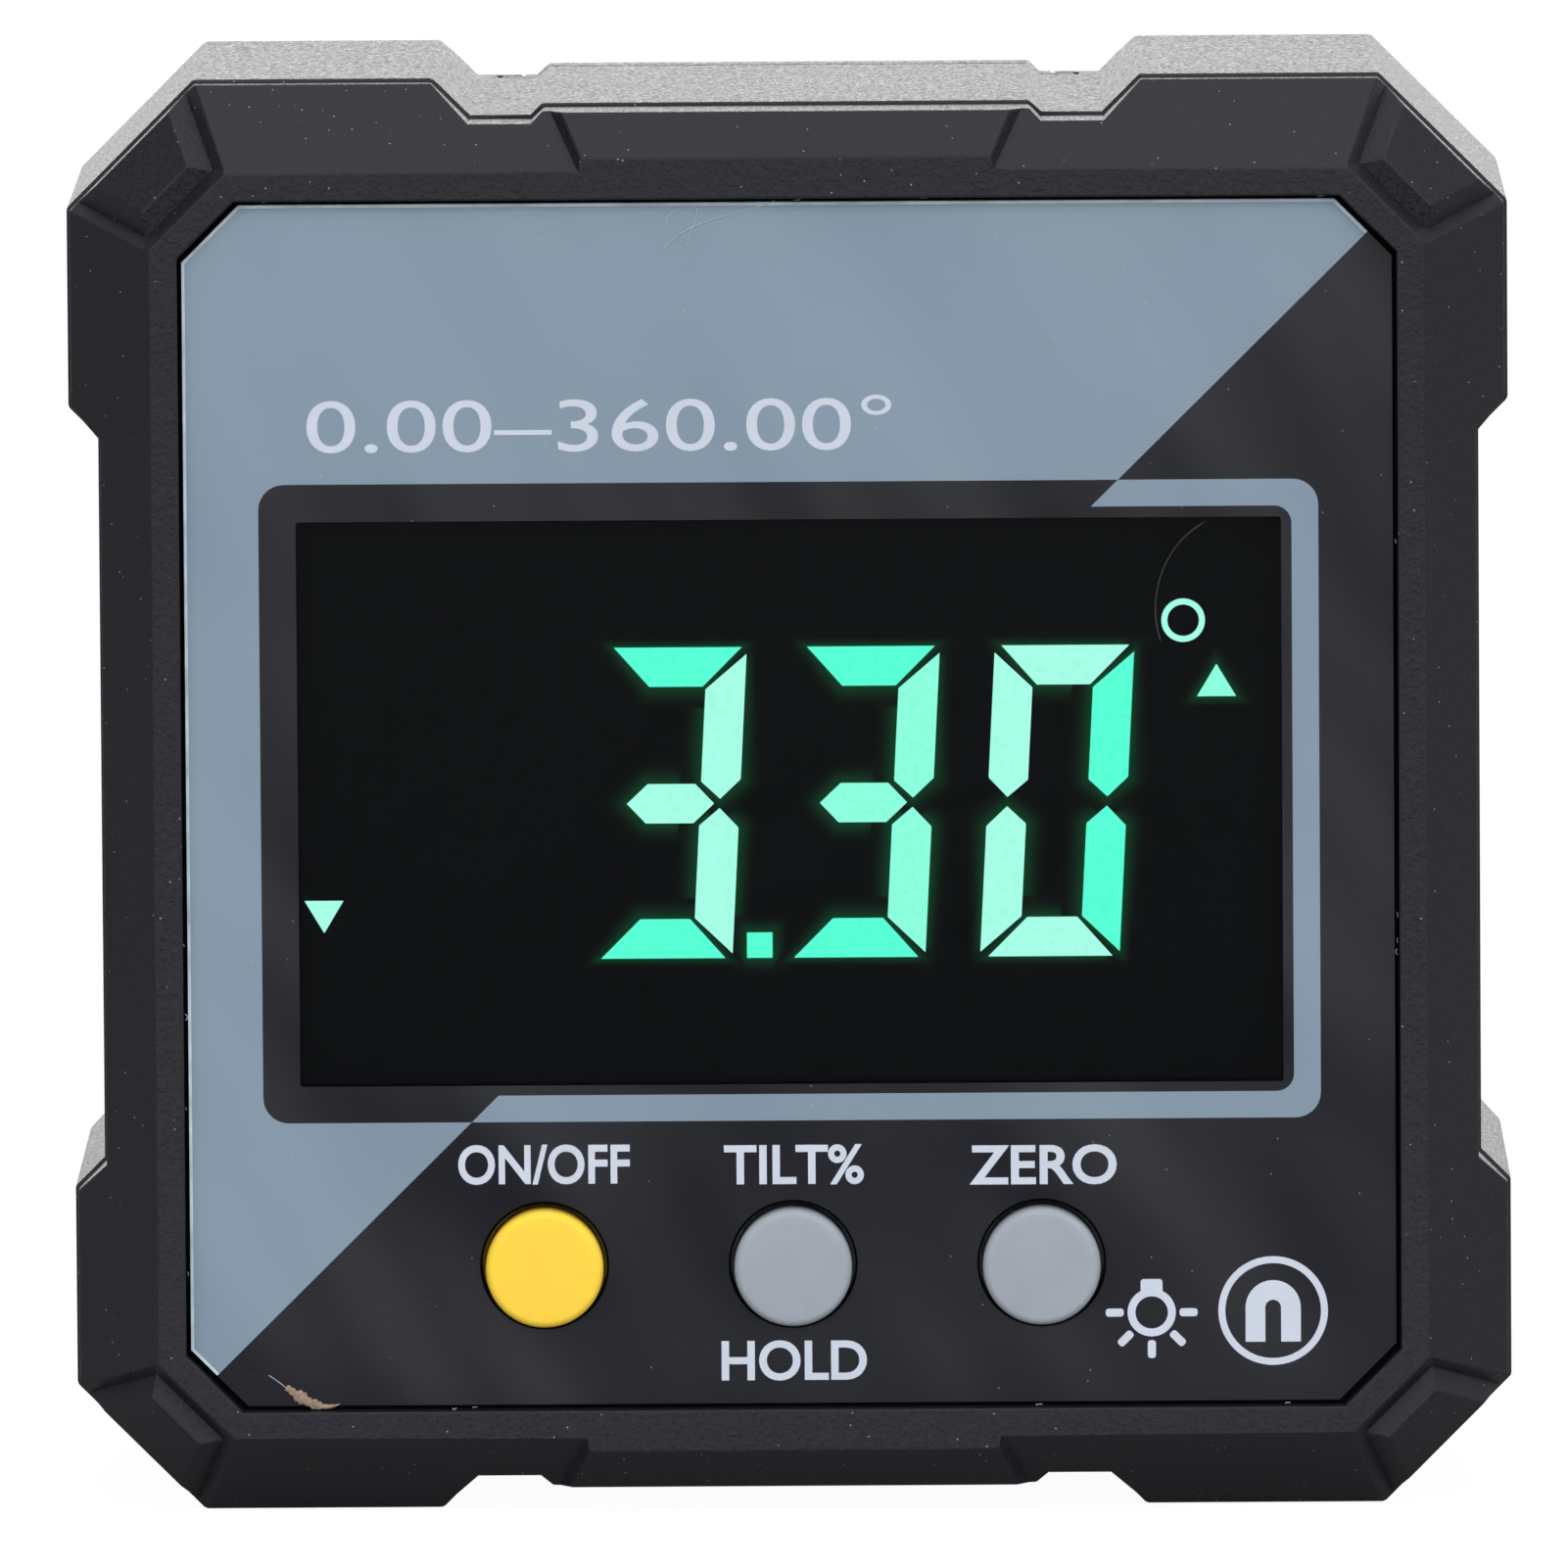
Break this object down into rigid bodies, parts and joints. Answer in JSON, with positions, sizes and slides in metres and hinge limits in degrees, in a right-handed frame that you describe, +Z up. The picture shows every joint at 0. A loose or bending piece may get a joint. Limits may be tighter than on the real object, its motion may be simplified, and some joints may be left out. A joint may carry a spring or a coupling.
{
  "type": "digital angle gauge",
  "caption": "Square black digital angle gauge with a two-tone face, lit green number display, three round buttons, magnetic base lugs and a sliding battery door.",
  "frame": {"origin": "middle of the base: the plane of the two base lugs, halfway across and halfway through the depth", "axes": "X to the right seen from the face, Y from the face to the back, Z up"},
  "size_m": [0.062, 0.027, 0.062],
  "materials": {
    "shell": "fine spark-eroded texture, black",
    "film": "clear film printed on its back, blue-grey and charcoal",
    "foam": "black closed-cell foam",
    "display": "black negative display cell",
    "light_guide": "white diffuser",
    "board": "green solder mask",
    "chip": "moulded black",
    "cap_yellow": "satin yellow",
    "cap_grey": "satin light grey",
    "cell": "plain wrapped cell",
    "nickel": "nickel-plated strip",
    "magnet": "nickel-plated magnet",
    "screw": "zinc-plated steel"
  },
  "bodies": {
    "case": {"rear_housing": "shell", "front_bezel": "shell", "face_film": "film", "display_gasket": "foam", "display_glass": "display", "backlight": "light_guide", "contact_strip": "foam", "main_board": "board", "controller": "chip", "tilt_sensor": "chip", "power_switch": "chip", "hold_switch": "chip", "zero_switch": "chip", "left_cell": "cell", "right_cell": "cell", "plus_contact": "nickel", "minus_contact": "nickel", "bridge_contact": "nickel", "magnet_front_left": "magnet", "magnet_front_right": "magnet", "magnet_back_left": "magnet", "magnet_back_right": "magnet", "case_screws": "screw", "board_screws": "screw"},
    "power_key": {"power_button": "cap_yellow", "power_plunger": "chip"},
    "hold_key": {"hold_button": "cap_grey", "hold_plunger": "chip"},
    "zero_key": {"zero_button": "cap_grey", "zero_plunger": "chip"},
    "door": {"battery_door": "shell"}
  },
  "joints": [
    {"name": "power_press", "type": "slide", "parent": "case", "child": "power_key", "axis": [0, 1, 0], "range_m": [0, 0.0005], "stiffness_N_per_m": 1500},
    {"name": "hold_press", "type": "slide", "parent": "case", "child": "hold_key", "axis": [0, 1, 0], "range_m": [0, 0.0005], "stiffness_N_per_m": 1500},
    {"name": "zero_press", "type": "slide", "parent": "case", "child": "zero_key", "axis": [0, 1, 0], "range_m": [0, 0.0005], "stiffness_N_per_m": 1500},
    {"name": "door_slide", "type": "slide", "parent": "case", "child": "door", "axis": [0, 0, 1], "range_m": [0, 0.05]}
  ]
}
